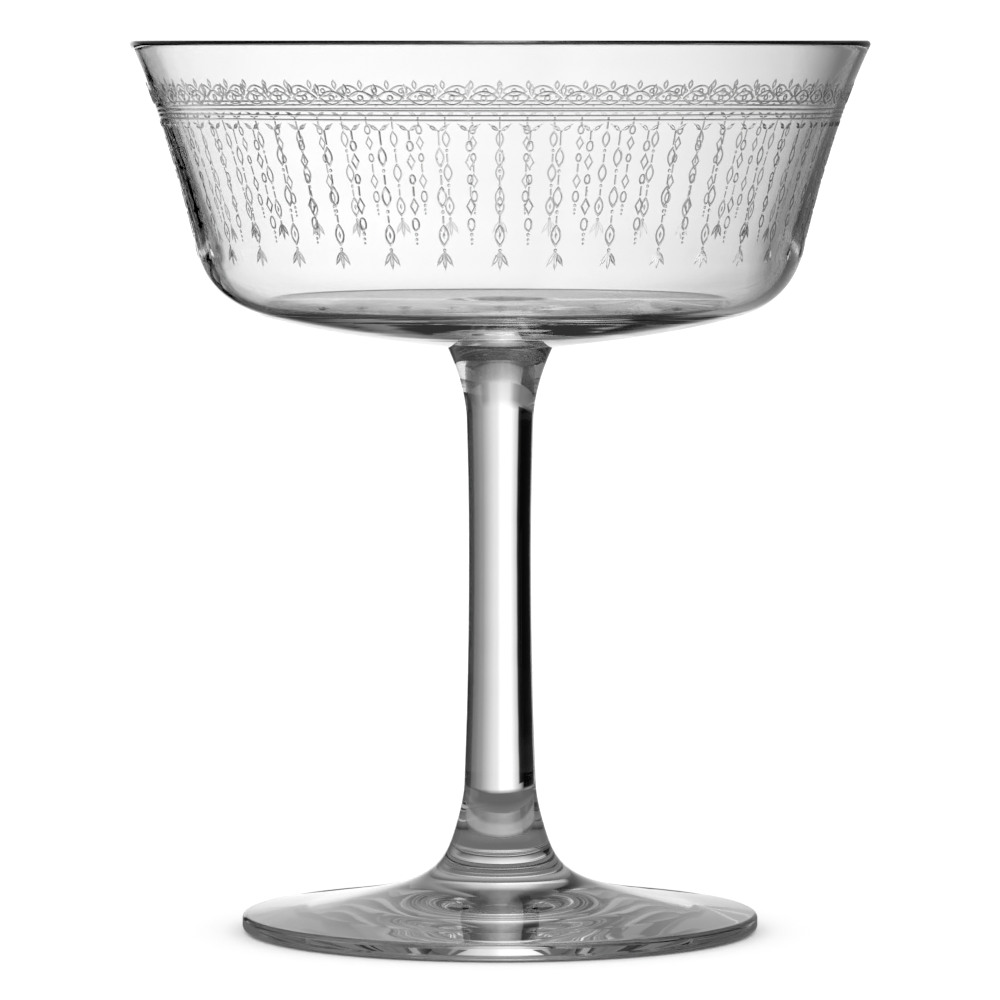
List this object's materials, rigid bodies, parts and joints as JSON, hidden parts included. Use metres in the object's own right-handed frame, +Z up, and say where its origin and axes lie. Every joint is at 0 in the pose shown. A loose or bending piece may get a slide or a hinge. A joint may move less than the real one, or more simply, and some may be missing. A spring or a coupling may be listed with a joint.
{
  "type": "champagne coupe",
  "caption": "Clear stemmed coupe glass: a wide, shallow, flared bowl fused to a slim waisted stem on a round pressed foot, for serving sparkling wine or cocktails.",
  "frame": {"origin": "centre of the flat ring under the foot, on the surface that the glass stands on", "axes": "+Z up along the axis of the stem, from the foot to the rim; the glass is round about it, so +X and +Y are free"},
  "size_m": [0.1, 0.1, 0.1206],
  "materials": {
    "clear_glass": "clear, fire polished, with fine etched lines on the outside of the bowl"
  },
  "bodies": {
    "root": {"bowl": "clear_glass", "stem": "clear_glass", "foot": "clear_glass"}
  },
  "joints": []
}
